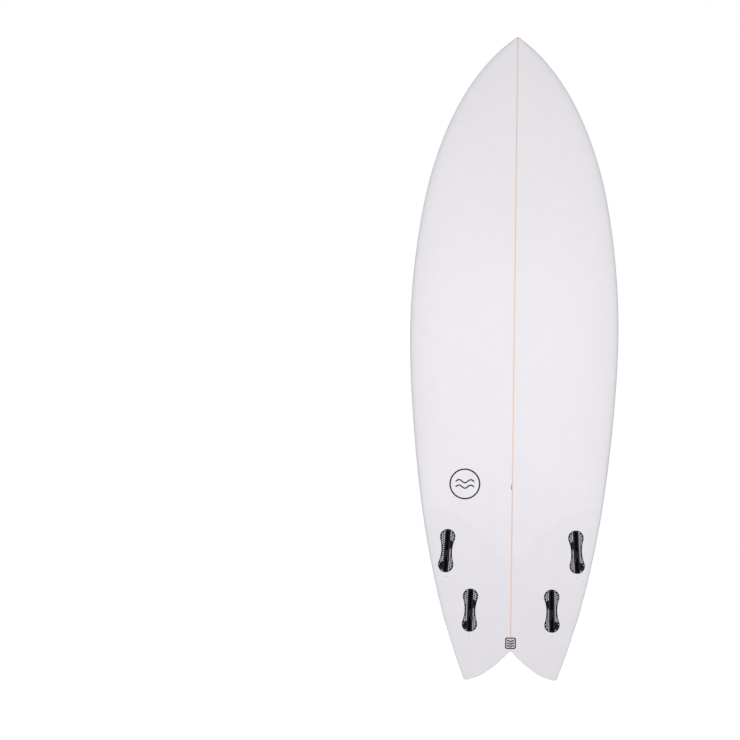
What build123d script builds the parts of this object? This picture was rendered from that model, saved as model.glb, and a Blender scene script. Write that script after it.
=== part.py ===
from build123d import *
import math
import os

import numpy as np

# A swallow-tail surfboard standing on its two tail tips, built as its maker builds it: two foam blanks
# glued to a wooden stringer, glassed with a deck and a bottom laminate, with moulded fin plugs let into
# the bottom and a leash plug let into the deck.
#
# +Z runs from the tail tips to the nose, +X is to the right as seen from the deck, the deck faces -Y and
# the bottom faces +Y. The origin is midway between the two tail tips, at mid thickness. Millimetres.

# ---------------------------------------------------------------- driving dimensions: the board's shape
LENGTH = 1676.4
THICKNESS = 63.5
NOSE_THICKNESS = 14.0
TAIL_THICKNESS = 18.0
THICKEST_AT = 880.0
FOIL_POWER = 2.2
NOSE_ROCKER = 115.0
TAIL_ROCKER = 40.0
LOWEST_AT = 720.0
NOSE_ROCKER_POWER = 2.3
TAIL_ROCKER_POWER = 2.0
NOSE_ROUNDING = 6.0

# Half widths along the board, as a shaper lists them: height above the tail tips, half width.
OUTLINE = [
    (-20, 113), (80, 149), (250, 196), (420, 229), (590, 251), (750, 264.5), (905, 269.8), (1050, 263.3),
    (1175, 248.7), (1300, 224.5), (1425, 184), (1510, 144.2), (1592, 89.7), (1643, 42.7), (LENGTH, 2.5),
]
# The trailing edge of one tail lobe, from the notch out to the rounded tip and up the rail: x, z.
TRAILING_EDGE = [
    (0, 76), (27, 49.5), (53, 28), (80, 11), (103, 2.4), (115, 0.3), (122, 3.5), (126, 12), (128.5, 22),
]
STATIONS = [
    -15, 40, 95, 160, 240, 330, 420, 510, 600, 700, 800, 900, 1000, 1100, 1190, 1280,
    1360, 1430, 1495, 1550, 1595, 1630, 1653, 1667, 1673, LENGTH,
]

# Section shape: Bezier quarters from the rail's widest line in to the stringer, as fractions of the half
# width and of the height above or below that line. The bottom is soft forward and hard-edged by the tail.
DECK_QUARTER = [(1, 0), (1, 0.5), (0.62, 1), (0, 1)]
BOTTOM_SOFT = [(1, 0), (1, 0.5), (0.85, 1), (0.45, 1), (0, 1)]
BOTTOM_HARD = [(1, 0), (1, 0.93), (0.985, 1), (0.6, 1), (0, 1)]
APEX_FRACTION = 0.42
APEX_AT_TAIL = 0.24
HARD_EDGE_FROM = 400.0
HARD_EDGE_TO = 640.0

# ---------------------------------------------------------------- driving dimensions: the lay-up
SKIN = 1.2
PATCH = 0.5
MARK = 0.3
NOTCH_LIFT = 1.2
STRINGER = 3.2
LAP_FRACTION = 0.35
FOAM_NOSE_GAP = 8.0
PATCH_EDGE = [(0, 316), (16, 321), (68, 372), (135, 423), (208, 446), (300, 452)]

# ---------------------------------------------------------------- driving dimensions: the fin plugs
# name, side, x, z, toe-in
PLUGS = [
    ("front_left", -1, 168.0, 336.0, 3.6),
    ("front_right", 1, 168.0, 336.0, 3.6),
    ("rear_left", -1, 106.0, 182.0, 1.5),
    ("rear_right", 1, 106.0, 182.0, 1.5),
]
PLUG_LENGTH = 113.0
LOBE_RADIUS = 20.0
WAIST = 28.0
FLANGE = 1.8
BAR_WIDTH = 12.0
BAR_LENGTH = 109.0
PLUG_DEPTH = 15.0
SLOT_WIDTH = 6.8
SLOT_DEPTH = 13.0
FRONT_SLOT = (2.0, 52.0)
REAR_SLOT = (-53.0, -17.0)
FRONT_BOSS = 15.8
REAR_BOSS = -38.4
BOSS_LENGTH = 20.0
BOSS_REACH = 16.0
BOSS_DEPTH = 11.0
BOSS_CORNER = 4.0

SCREW_RADIUS = 2.45
SCREW_BORE = 2.5
SCREW_LENGTH = 6.0
SCREW_TILT = 40.0
SCREW_EXIT_DEPTH = 9.0
SCREW_BACK_OFF = 3.0
SOCKET_ACROSS = 2.5
SOCKET_DEPTH = 2.6

NICHE_CENTRE = -20.9
NICHE_HALF = 3.9
NICHE_BACK = 9.0
NICHE_DEPTH = 8.8
NICHE_WINDOW = 7.0
NICHE_WALL = 1.6
ROLLER_RADIUS = 1.8
ROLLER_LENGTH = 7.4
ROLLER_DEPTH = 6.0
ROLLER_PROUD = 1.6
ROLLER_EDGE = 0.3
ELASTOMER_LENGTH = 7.6
ELASTOMER_GAP = 0.1
ELASTOMER_TOP = 1.2
LIP_FRONT = 4.0
LIP_DEPTH = 3.6

# ---------------------------------------------------------------- driving dimensions: leash plug and marks
LEASH_X = 72.0
LEASH_Z = 95.0
CUP_FLANGE_RADIUS = 14.0
CUP_FLANGE = 2.0
CUP_RADIUS = 12.0
CUP_DEPTH = 15.0
CUP_CAVITY = 8.5
CAVITY_DEPTH = 12.5
LEASH_BAR_RADIUS = 2.0
LEASH_BAR_LENGTH = 21.0
LEASH_BAR_DEPTH = 4.0
BAR_CLEARANCE = 0.02

DECK_MARK_AT = (-134.0, 571.0)
DECK_MARK_SIZE = (100.0, 138.0)
DECK_MARK_CORNER = 12.0
BOTTOM_MARK_AT = (123.0, 509.5)
BOTTOM_MARK_RADIUS = 40.0
TAIL_MARK_AT = (0.0, 97.0)
TAIL_MARK_SIZE = (28.0, 30.0)
TAIL_MARK_CORNER = 5.0

# How far construction shapes run past the board, and how far a pocket's cutter stands out of it.
REACH = 400.0
POCKET_OVER = 2.0


# ---------------------------------------------------------------- the board's curves
def natural_spline(points):
    """The smooth curve through a list of (position, value) points."""
    at = np.array([float(p[0]) for p in points])
    value = np.array([float(p[1]) for p in points])
    step = np.diff(at)
    count = len(at)
    matrix = np.eye(count)
    right = np.zeros(count)
    for i in range(1, count - 1):
        matrix[i, i - 1:i + 2] = step[i - 1], 2 * (step[i - 1] + step[i]), step[i]
        right[i] = 6 * ((value[i + 1] - value[i]) / step[i] - (value[i] - value[i - 1]) / step[i - 1])
    bend = np.linalg.solve(matrix, right)

    def curve(z):
        i = int(np.clip(np.searchsorted(at, z) - 1, 0, count - 2))
        a = (at[i + 1] - z) / step[i]
        b = (z - at[i]) / step[i]
        cubic = ((a**3 - a) * bend[i] + (b**3 - b) * bend[i + 1]) * step[i] ** 2 / 6
        return float(a * value[i] + b * value[i + 1] + cubic)

    return curve


half_width = natural_spline(OUTLINE)


def smooth_step(low, high, value):
    """0 below low, 1 above high, and a smooth rise between."""
    t = min(max((value - low) / (high - low), 0.0), 1.0)
    return t * t * (3 - 2 * t)


def thickness(z):
    """Thickness at the stringer: thickest near the middle, thin at nose and tail."""
    if z > THICKEST_AT:
        reach = (z - THICKEST_AT) / (LENGTH - THICKEST_AT)
        end = NOSE_THICKNESS
    else:
        reach = (THICKEST_AT - z) / THICKEST_AT
        end = TAIL_THICKNESS
    return end + (THICKNESS - end) * (1 - reach**FOIL_POWER)


def rocker(z):
    """How far the bottom has lifted towards the deck."""
    if z > LOWEST_AT:
        return NOSE_ROCKER * ((z - LOWEST_AT) / (LENGTH - LOWEST_AT)) ** NOSE_ROCKER_POWER
    return TAIL_ROCKER * ((LOWEST_AT - z) / LOWEST_AT) ** TAIL_ROCKER_POWER


def hardness(z):
    """1 by the tail, where the bottom has a hard edge, and 0 from the middle forward."""
    return 1 - smooth_step(HARD_EDGE_FROM, HARD_EDGE_TO, z)


def section_sizes(z, inset=0.0):
    """Half width, deck and bottom heights about the rail's widest line, and that line's y."""
    slope = (half_width(z + 1) - half_width(z - 1)) / 2
    width = half_width(z) - inset * math.hypot(1, slope)
    past = max(0.0, (z - (LENGTH - NOSE_ROUNDING)) / NOSE_ROUNDING)
    rounding = math.sqrt(1 - 0.6 * past**2)
    full = thickness(z)
    fraction = APEX_FRACTION + (APEX_AT_TAIL - APEX_FRACTION) * hardness(z)
    bottom = TAIL_THICKNESS / 2 + TAIL_ROCKER - rocker(z)
    apex = bottom - fraction * full
    deck_height = (1 - fraction) * full * rounding - inset
    bottom_height = fraction * full * rounding - inset
    return width, deck_height, bottom_height, apex


def quarter(z, side):
    """The quarter section's shape at height z, on the deck (side -1) or the bottom (side +1)."""
    if side < 0:
        return DECK_QUARTER
    hard = hardness(z)
    pairs = zip(BOTTOM_SOFT, BOTTOM_HARD)
    return [(a + (c - a) * hard, b + (d - b) * hard) for (a, b), (c, d) in pairs]


def bezier_point(points, t):
    """The point at t on a Bezier curve."""
    while len(points) > 1:
        points = [((1 - t) * a[0] + t * b[0], (1 - t) * a[1] + t * b[1]) for a, b in zip(points, points[1:])]
    return points[0]


def surface_y(x, z, side):
    """The outer surface's y on the deck (side -1) or the bottom (side +1)."""
    width, deck_height, bottom_height, apex = section_sizes(z)
    height = deck_height if side < 0 else bottom_height
    shape = quarter(z, side)
    low, high = 0.0, 1.0
    for _ in range(40):
        middle = (low + high) / 2
        if bezier_point(shape, middle)[0] * width > abs(x):
            low = middle
        else:
            high = middle
    return apex + side * height * bezier_point(shape, low)[1]


def section_wire(z, inset):
    """The closed outline of the board's section at height z."""
    width, deck_height, bottom_height, apex = section_sizes(z, inset)
    edges = []
    quarters = [(-1, deck_height, 1), (-1, deck_height, -1), (1, bottom_height, -1), (1, bottom_height, 1)]
    for side, height, hand in quarters:
        points = [(hand * width * u, apex + side * height * v, z) for u, v in quarter(z, side)]
        if side * hand > 0:
            points.reverse()
        edges.append(Bezier(*points).edge())
    return Wire(edges)


def tail_cutter(inset):
    """The space behind the swallow tail's two lobes."""
    lift = NOTCH_LIFT * inset
    right = [(x, -REACH, z + lift) for x, z in TRAILING_EDGE]
    left = [(-x, y, z) for x, y, z in reversed(right)]
    outer_x, _, outer_z = right[-1]
    below = [(outer_x, -REACH, outer_z), (REACH, -REACH, outer_z), (REACH, -REACH, -REACH)]
    below += [(-x, y, z) for x, y, z in reversed(below)]
    wire = Wire([Spline(*left).edge(), Spline(*right).edge(), *Polyline(*below).edges()])
    return extrude(Face(wire), amount=2 * REACH, dir=(0, 1, 0))


def board_body(inset):
    """The whole board, shrunk by inset all round."""
    stations = [z for z in STATIONS if inset == 0 or z < LENGTH - FOAM_NOSE_GAP]
    hull = Solid.make_loft([section_wire(z, inset) for z in stations])
    return hull - tail_cutter(inset)


def deck_side():
    """Everything on the deck side of the lap line, where the two laminates meet."""
    line = []
    for z in [-60] + STATIONS[1:-1] + [LENGTH + 40]:
        width, deck_height, bottom_height, apex = section_sizes(min(max(z, 0), LENGTH))
        line.append((-REACH, apex + LAP_FRACTION * bottom_height, z))
    edge = Spline(*line)
    start, end = line[0], line[-1]
    back = Polyline(end, (-REACH, -REACH, end[2]), (-REACH, -REACH, start[2]), start)
    return extrude(Face(Wire([edge.edge(), *back.edges()])), amount=2 * REACH, dir=(1, 0, 0))


def patch_area():
    """The plan shape of the extra glass over the fins, with its curved front edge."""
    right = [(x, -REACH, z) for x, z in PATCH_EDGE]
    left = [(-x, y, z) for x, y, z in reversed(right)]
    outer_x, _, outer_z = right[-1]
    below = [(outer_x, -REACH, outer_z), (outer_x, -REACH, -REACH)]
    below += [(-x, y, z) for x, y, z in reversed(below)]
    wire = Wire([Spline(*left).edge(), Spline(*right).edge(), *Polyline(*below).edges()])
    return extrude(Face(wire), amount=2 * REACH, dir=(0, 1, 0))


def surface_plane(x, z, side, toe=0.0):
    """A plane touching the surface: its x runs to the nose, turned in by toe degrees, its z points out."""
    probe = 4.0
    across = (surface_y(x + probe, z, side) - surface_y(x - probe, z, side)) / (2 * probe)
    along = (surface_y(x, z + probe, side) - surface_y(x, z - probe, side)) / (2 * probe)
    out = (Vector(-across, 1, -along) * side).normalized()
    turn = math.radians(toe) * math.copysign(1, x)
    forward = Vector(-math.sin(turn), 0, math.cos(turn))
    forward = forward - out * forward.dot(out)
    return Plane(origin=(x, surface_y(x, z, side), z), x_dir=forward, z_dir=out)


# ---------------------------------------------------------------- one fin plug, for the board's right side
# Its top is at z = 0, +X points to the nose, and -Y to the stringer.
def block(x_range, y_range, z_range):
    """A box between two limits each way."""
    low = (min(x_range), min(y_range), min(z_range))
    high = (max(x_range), max(y_range), max(z_range))
    size = [b - a for a, b in zip(low, high)]
    return Pos(*low) * Box(*size, align=(Align.MIN, Align.MIN, Align.MIN))


def dog_bone():
    """The plug's outline: two round lobes joined by a waist."""
    centre = PLUG_LENGTH / 2 - LOBE_RADIUS
    half = WAIST / 2
    radius = (centre**2 + half**2 - LOBE_RADIUS**2) / (2 * (LOBE_RADIUS - half))
    share = LOBE_RADIUS / (LOBE_RADIUS + radius)
    shape = Rectangle(2 * centre * (1 - share), 2 * (half + radius) * share)
    for hand in (-1, 1):
        shape += Pos(hand * centre, 0) * Circle(LOBE_RADIUS)
        shape -= Pos(0, hand * (half + radius)) * Circle(radius)
    return shape


def boss(x, side):
    """A solid pad beside the slots, with cut corners, that holds a grub screw."""
    width = BOSS_REACH + 2.0
    pad = block((x - BOSS_LENGTH / 2, x + BOSS_LENGTH / 2), (0, side * width), (-BOSS_DEPTH, 0))
    outer = [edge for edge in pad.edges().filter_by(Axis.Z) if abs(edge.center().Y) > 1]
    pad = chamfer(outer, BOSS_CORNER + 2.0)
    return pad & extrude(dog_bone(), amount=-BOSS_DEPTH)


def screw_plane(x, side):
    """A plane where the screw's axis meets the slot's wall, its z pointing out along the screw."""
    tilt = math.radians(SCREW_TILT)
    out = (0, side * math.sin(tilt), math.cos(tilt))
    return Plane(origin=(x, side * SLOT_WIDTH / 2, -SCREW_EXIT_DEPTH), x_dir=(1, 0, 0), z_dir=out)


def rod(radius, low, high):
    """A cylinder up the z axis from low to high."""
    return Pos(0, 0, low) * Cylinder(radius, high - low, align=(Align.CENTER, Align.CENTER, Align.MIN))


def grub_screw(x, side):
    """A headless screw with a hexagon socket, flush with its boss."""
    top = SCREW_BACK_OFF + SCREW_LENGTH
    screw = rod(SCREW_RADIUS, SCREW_BACK_OFF, top)
    socket = extrude(RegularPolygon(SOCKET_ACROSS / 2, 6, major_radius=False), amount=SOCKET_DEPTH)
    screw -= Pos(0, 0, top - SOCKET_DEPTH) * socket
    return screw_plane(x, side).location * screw


def niche_span(half):
    """The x limits of the pocket that holds the roller and its elastomer."""
    return (NICHE_CENTRE - half, NICHE_CENTRE + half)


def plug_envelope():
    """The plug's outside, as it is let into the foam."""
    body = extrude(dog_bone(), amount=-FLANGE)
    body += block((-BAR_LENGTH / 2, BAR_LENGTH / 2), (-BAR_WIDTH / 2, BAR_WIDTH / 2), (-PLUG_DEPTH, 0))
    body += boss(FRONT_BOSS, -1)
    body += boss(REAR_BOSS, 1)
    wall = NICHE_WALL
    body += block(niche_span(NICHE_HALF + wall), (-NICHE_BACK - wall, 0), (-NICHE_DEPTH - wall, 0))
    return body


def plug_body():
    """The moulding: two tab slots, two screw bores and the roller's niche."""
    half = SLOT_WIDTH / 2
    body = plug_envelope()
    for span in (FRONT_SLOT, REAR_SLOT):
        body -= block(span, (-half, half), (-SLOT_DEPTH, 1))
    for x, side in ((FRONT_BOSS, -1), (REAR_BOSS, 1)):
        body -= screw_plane(x, side).location * rod(SCREW_BORE, 0, 3 * SCREW_LENGTH)
    body -= block(niche_span(NICHE_HALF), (-NICHE_BACK, 0), (-NICHE_DEPTH, -ELASTOMER_TOP))
    body -= block(niche_span(NICHE_HALF), (-NICHE_WINDOW, 0), (-NICHE_DEPTH, 1))
    return body


def roller_y():
    """Where the roller's axis lies at rest, standing a little way into the slot."""
    return ROLLER_PROUD - SLOT_WIDTH / 2 - ROLLER_RADIUS


def retention_roller():
    """The barrel that presses on the side of a fin's rear tab."""
    barrel = Rot(0, 90, 0) * Cylinder(ROLLER_RADIUS, ROLLER_LENGTH)
    barrel = chamfer(barrel.edges().filter_by(GeomType.CIRCLE), ROLLER_EDGE)
    return Pos(NICHE_CENTRE, roller_y(), -ROLLER_DEPTH) * barrel


def elastomer_spring():
    """The rubber block behind the roller, with a lip over it that shows from outside."""
    front = roller_y() - ROLLER_RADIUS - ELASTOMER_GAP
    span = niche_span(ELASTOMER_LENGTH / 2)
    block_behind = block(span, (-NICHE_BACK, front), (-NICHE_DEPTH, -ELASTOMER_TOP))
    return block_behind + block(span, (-NICHE_BACK, -LIP_FRONT), (-LIP_DEPTH, -ELASTOMER_TOP))


# ---------------------------------------------------------------- the leash plug, its top at z = 0
def leash_envelope():
    """The leash cup's outside, as it is let into the foam."""
    return rod(CUP_FLANGE_RADIUS, -CUP_FLANGE, 0) + rod(CUP_RADIUS, -CUP_DEPTH, 0)


def leash_bar(radius):
    """The bar across the cup that the leash's string ties to."""
    return Pos(0, 0, -LEASH_BAR_DEPTH) * Rot(90, 0, 0) * Cylinder(radius, LEASH_BAR_LENGTH)


def leash_cup():
    """The moulded cup, with its bar's ends let into the wall."""
    return leash_envelope() - rod(CUP_CAVITY, -CAVITY_DEPTH, 1) - leash_bar(LEASH_BAR_RADIUS + BAR_CLEARANCE)


# ---------------------------------------------------------------- the printed marks, let into the outer resin
def mark_prism(sketch, at, low, high):
    """A plan shape drawn in x and z, swept from y = low to y = high."""
    plane = Plane(origin=(at[0], low, at[1]), x_dir=(-1, 0, 0), z_dir=(0, 1, 0))
    return extrude(plane * sketch, amount=high - low, dir=(0, 1, 0))


# ---------------------------------------------------------------- assembly
os.makedirs("parts", exist_ok=True)
nodes = {}

outer = board_body(0)
core = board_body(SKIN)
deck_half = deck_side()
middle_y = surface_y(0, DECK_MARK_AT[1], -1) / 2 + surface_y(0, DECK_MARK_AT[1], 1) / 2

# The marks lie in the outermost resin.
film = outer - board_body(MARK)
label = RectangleRounded(*DECK_MARK_SIZE, DECK_MARK_CORNER)
nodes["deck_label"] = film & mark_prism(label, DECK_MARK_AT, -REACH, middle_y)
nodes["ring_mark"] = film & mark_prism(Circle(BOTTOM_MARK_RADIUS), BOTTOM_MARK_AT, middle_y, REACH)
tail_middle_y = surface_y(0, TAIL_MARK_AT[1], -1) / 2 + surface_y(0, TAIL_MARK_AT[1], 1) / 2
tail_badge = RectangleRounded(*TAIL_MARK_SIZE, TAIL_MARK_CORNER)
nodes["tail_mark"] = film & mark_prism(tail_badge, TAIL_MARK_AT, tail_middle_y, REACH)

# The skins, and the extra glass under the bottom one.
skin = outer - core
patch = (board_body(SKIN - PATCH) - core - deck_half) & patch_area()
deck_laminate = (skin & deck_half) - nodes["deck_label"]
bottom_laminate = skin - deck_half - patch - nodes["ring_mark"] - nodes["tail_mark"]

# The wooden stringer and the two halves of the blank.
slab = Box(STRINGER, 2 * REACH, 4 * LENGTH)
nodes["stringer"] = core & slab
blanks = {"left": core & Pos(-REACH - STRINGER / 2, 0, 0) * Box(2 * REACH, 2 * REACH, 4 * LENGTH)}
blanks["right"] = core & Pos(REACH + STRINGER / 2, 0, 0) * Box(2 * REACH, 2 * REACH, 4 * LENGTH)

# The four fin plugs. The left ones are mirror images.
for name, hand, x, z, toe in PLUGS:
    place = surface_plane(hand * x, z, 1, toe).location
    pieces = {
        f"plug_{name}": plug_body(),
        f"roller_{name}": retention_roller(),
        f"elastomer_{name}": elastomer_spring(),
        f"screw_fore_{name}": grub_screw(FRONT_BOSS, -1),
        f"screw_aft_{name}": grub_screw(REAR_BOSS, 1),
    }
    pocket = plug_envelope() + extrude(dog_bone(), amount=POCKET_OVER)
    if hand < 0:
        pieces = {node: mirror(piece, about=Plane.XZ) for node, piece in pieces.items()}
        pocket = mirror(pocket, about=Plane.XZ)
    for node, piece in pieces.items():
        nodes[node] = place * piece
    pocket = place * pocket
    half = "right" if hand > 0 else "left"
    blanks[half] -= pocket
    bottom_laminate -= pocket
    patch -= pocket

# The leash plug, in the deck on the right.
place = surface_plane(LEASH_X, LEASH_Z, -1).location
nodes["leash_cup"] = place * leash_cup()
nodes["leash_bar"] = place * leash_bar(LEASH_BAR_RADIUS)
pocket = place * (leash_envelope() + rod(CUP_FLANGE_RADIUS, 0, POCKET_OVER))
blanks["right"] -= pocket
deck_laminate -= pocket

nodes["foam_blank_left"] = blanks["left"]
nodes["foam_blank_right"] = blanks["right"]
nodes["tail_patch"] = patch
nodes["deck_laminate"] = deck_laminate
nodes["bottom_laminate"] = bottom_laminate

for node, solid in nodes.items():
    export_step(solid, f"parts/{node}.step")
    print(node, round(solid.volume, 1), len(solid.solids()))
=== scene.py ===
import math

import bpy
import numpy as np
from mathutils import Matrix, Vector
from mathutils.geometry import delaunay_2d_cdt


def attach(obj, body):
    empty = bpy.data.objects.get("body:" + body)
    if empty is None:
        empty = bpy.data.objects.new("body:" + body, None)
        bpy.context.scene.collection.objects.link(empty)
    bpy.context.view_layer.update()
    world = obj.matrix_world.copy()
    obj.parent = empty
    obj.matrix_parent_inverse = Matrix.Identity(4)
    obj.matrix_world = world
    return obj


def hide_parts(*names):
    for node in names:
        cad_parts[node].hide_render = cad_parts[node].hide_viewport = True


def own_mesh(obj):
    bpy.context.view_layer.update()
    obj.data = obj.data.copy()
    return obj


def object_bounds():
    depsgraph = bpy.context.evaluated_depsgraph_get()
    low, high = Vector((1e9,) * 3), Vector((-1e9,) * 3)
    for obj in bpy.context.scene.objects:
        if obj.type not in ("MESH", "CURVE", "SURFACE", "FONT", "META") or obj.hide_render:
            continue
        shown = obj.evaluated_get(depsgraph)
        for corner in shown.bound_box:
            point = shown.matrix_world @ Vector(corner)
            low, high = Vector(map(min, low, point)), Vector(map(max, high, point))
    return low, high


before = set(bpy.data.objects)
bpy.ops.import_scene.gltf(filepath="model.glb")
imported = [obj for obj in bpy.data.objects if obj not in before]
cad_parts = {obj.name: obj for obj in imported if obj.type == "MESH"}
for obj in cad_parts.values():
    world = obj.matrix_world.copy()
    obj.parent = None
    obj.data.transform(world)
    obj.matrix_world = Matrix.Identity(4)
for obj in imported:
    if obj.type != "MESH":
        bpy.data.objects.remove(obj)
cad_low, cad_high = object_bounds()

# Lengths are millimetres until a mesh is made. The frame is the CAD's: +Z to the nose, deck to -Y.
MM = 0.001

# ---- the board's shape, as in the CAD
LENGTH = 1676.4
THICKNESS = 63.5
NOSE_THICKNESS = 14.0
TAIL_THICKNESS = 18.0
THICKEST_AT = 880.0
FOIL_POWER = 2.2
NOSE_ROCKER = 115.0
TAIL_ROCKER = 40.0
LOWEST_AT = 720.0
NOSE_ROCKER_POWER = 2.3
TAIL_ROCKER_POWER = 2.0
NOSE_ROUNDING = 6.0
NOSE_ROUNDING_SHARE = 0.6
TIP = 5.0
OUTLINE = [
    (-20, 113), (80, 149), (250, 196), (420, 229), (590, 251), (750, 264.5), (905, 269.8), (1050, 263.3),
    (1175, 248.7), (1300, 224.5), (1425, 184), (1510, 144.2), (1592, 89.7), (1643, 42.7), (LENGTH, 2.5),
]
TRAILING_EDGE = [
    (0, 76), (27, 49.5), (53, 28), (80, 11), (103, 2.4), (115, 0.3), (122, 3.5), (126, 12), (128.5, 22),
]
QUARTERS = {
    -1: ([(1, 0), (1, 0.5), (0.62, 1), (0, 1)],) * 2,
    1: (
        [(1, 0), (1, 0.5), (0.85, 1), (0.45, 1), (0, 1)],
        [(1, 0), (1, 0.93), (0.985, 1), (0.6, 1), (0, 1)],
    ),
}
APEX_FRACTION = 0.42
APEX_AT_TAIL = 0.24
HARD_EDGE_FROM = 400.0
HARD_EDGE_TO = 640.0
NOTCH_Z = 76.0
TAIL_ZONE = 170.0
DECK, BOTTOM = -1, 1
EDGE_RADIUS = {DECK: 4.0, BOTTOM: 2.0}
SHELL = 1.1
SHARP_FROM = math.radians(35)

PLUGS = [
    ("front_left", -1, 168.0, 336.0, 3.6),
    ("front_right", 1, 168.0, 336.0, 3.6),
    ("rear_left", -1, 106.0, 182.0, 1.5),
    ("rear_right", 1, 106.0, 182.0, 1.5),
]
PLUG_LENGTH = 113.0
LOBE_RADIUS = 20.0
WAIST = 28.0
BAR = (109.0, 12.0, 15.0)
SLOTS = [(2.0, 52.0), (-53.0, -17.0)]
SLOT_WIDTH = 6.8
SLOT_DEPTH = 13.0
BOSSES = [(15.8, -1, 18.0), (-38.4, 1, 15.6)]
BOSS_LENGTH = 20.0
BOSS_CORNER = 6.0
BOSS_DEPTH = 11.0
SCREW_TILT = math.radians(40)
SCREW_EXIT_DEPTH = 9.0
SCREW_BORE = 2.7
NICHE_CENTRE = -20.9
NICHE_HALF = 3.9
NICHE_BACK = 9.0
NICHE_DEPTH = 8.8
NICHE_WINDOW = 7.0
NICHE_WALL = 1.6

LEASH_AT = (72.0, 95.0)
CUP_RADIUS = 14.0


def natural_spline(at, value):
    """The smooth curve through values at rising positions."""
    step = np.diff(at)
    count = len(at)
    matrix = np.eye(count)
    right = np.zeros(count)
    right[1:-1] = 6 * np.diff(np.diff(value) / step)
    for i in range(1, count - 1):
        matrix[i, i - 1:i + 2] = step[i - 1], 2 * (step[i - 1] + step[i]), step[i]
    bend = np.linalg.solve(matrix, right)

    def curve(z):
        i = np.clip(np.searchsorted(at, z) - 1, 0, count - 2)
        a = (at[i + 1] - z) / step[i]
        b = (z - at[i]) / step[i]
        cubic = ((a**3 - a) * bend[i] + (b**3 - b) * bend[i + 1]) * step[i] ** 2 / 6
        return a * value[i] + b * value[i + 1] + cubic

    return curve


half_width = natural_spline(*np.array(OUTLINE).T)


def section(z):
    """Half width, deck height, bottom height and the y of the rail's widest line, at heights z."""
    forward = np.clip((z - THICKEST_AT) / (LENGTH - THICKEST_AT), 0, 1)
    back = np.clip((THICKEST_AT - z) / THICKEST_AT, 0, 1.05)
    end = np.where(z > THICKEST_AT, NOSE_THICKNESS, TAIL_THICKNESS)
    share = np.where(z > THICKEST_AT, forward, back)
    full = end + (THICKNESS - end) * (1 - share**FOIL_POWER)
    up = NOSE_ROCKER * np.clip((z - LOWEST_AT) / (LENGTH - LOWEST_AT), 0, 1) ** NOSE_ROCKER_POWER
    down = TAIL_ROCKER * np.clip((LOWEST_AT - z) / LOWEST_AT, 0, 2) ** TAIL_ROCKER_POWER
    fraction = APEX_FRACTION + (APEX_AT_TAIL - APEX_FRACTION) * hardness(z)
    apex = TAIL_THICKNESS / 2 + TAIL_ROCKER - up - down - fraction * full
    past = np.clip((z - (LENGTH - NOSE_ROUNDING)) / NOSE_ROUNDING, 0, 1)
    tip = np.sqrt(1 - np.clip((z - (LENGTH - TIP)) / TIP, 0, 1) ** 2)
    rounding = np.sqrt(1 - NOSE_ROUNDING_SHARE * past**2) * tip
    return half_width(z) * tip, (1 - fraction) * full * rounding, fraction * full * rounding, apex


def hardness(z):
    """1 by the tail, where the bottom's edge is hard, and 0 from the middle forward."""
    t = np.clip((z - HARD_EDGE_FROM) / (HARD_EDGE_TO - HARD_EDGE_FROM), 0, 1)
    return 1 - t * t * (3 - 2 * t)


def quarter_point(side, t, z):
    """The quarter section's point at t, from the rail at 0 to the stringer at 1."""
    soft, hard = QUARTERS[side]
    blend = hardness(z)
    degree = len(soft) - 1
    u = np.zeros(np.broadcast(t, z).shape)
    v = np.zeros_like(u)
    for i, (a, b) in enumerate(zip(soft, hard)):
        weight = math.comb(degree, i) * t**i * (1 - t) ** (degree - i)
        u = u + weight * (a[0] + (b[0] - a[0]) * blend)
        v = v + weight * (a[1] + (b[1] - a[1]) * blend)
    return u, v


def across_of(side, x, z):
    """The place across the section, -1 at the left rail to 1 at the right, of a plan point."""
    width = section(z)[0]
    low = np.zeros(np.broadcast(x, z).shape)
    high = np.ones_like(low)
    for _ in range(36):
        middle = (low + high) / 2
        wide = quarter_point(side, middle, z)[0] * width > np.abs(x)
        low = np.where(wide, middle, low)
        high = np.where(wide, high, middle)
    return np.sign(x) * (1 - low)


def trailing_line(count):
    """Plan points along the right lobe's trailing edge, from the notch to where it meets the rail."""
    points = np.array(TRAILING_EDGE, float)
    along = np.concatenate([[0], np.cumsum(np.hypot(*np.diff(points, axis=0).T))])
    line_x = natural_spline(along, points[:, 0])
    line_z = natural_spline(along, points[:, 1])
    low, high = along[-4], along[-1]
    for _ in range(40):
        middle = (low + high) / 2
        if line_x(middle) < half_width(line_z(middle)):
            low = middle
        else:
            high = middle
    at = low * np.linspace(0, 1, count)
    x, z = line_x(at), line_z(at)
    x[0] = 0
    x[-1] = half_width(z[-1])
    return np.column_stack([x, z])


TRAIL = trailing_line(150)
TRAIL_BOTH = np.vstack([TRAIL[::-1] * (-1, 1), TRAIL[1:]])


def trail_distance(x, z):
    """How far plan points are from the trailing edge, or a metre for those forward of the tail."""
    points = np.column_stack([np.ravel(x), np.ravel(z)])
    found = np.full(len(points), 1e3)
    near = np.flatnonzero(points[:, 1] < TAIL_ZONE)
    start = TRAIL_BOTH[:-1]
    step = np.diff(TRAIL_BOTH, axis=0)
    for part in np.array_split(near, max(1, len(near) // 2000)):
        offset = points[part][:, None] - start[None]
        share = np.clip((offset * step).sum(2) / (step**2).sum(1), 0, 1)
        found[part] = np.sqrt(((offset - share[..., None] * step) ** 2).sum(2).min(1))
    return found.reshape(np.shape(x))


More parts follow.
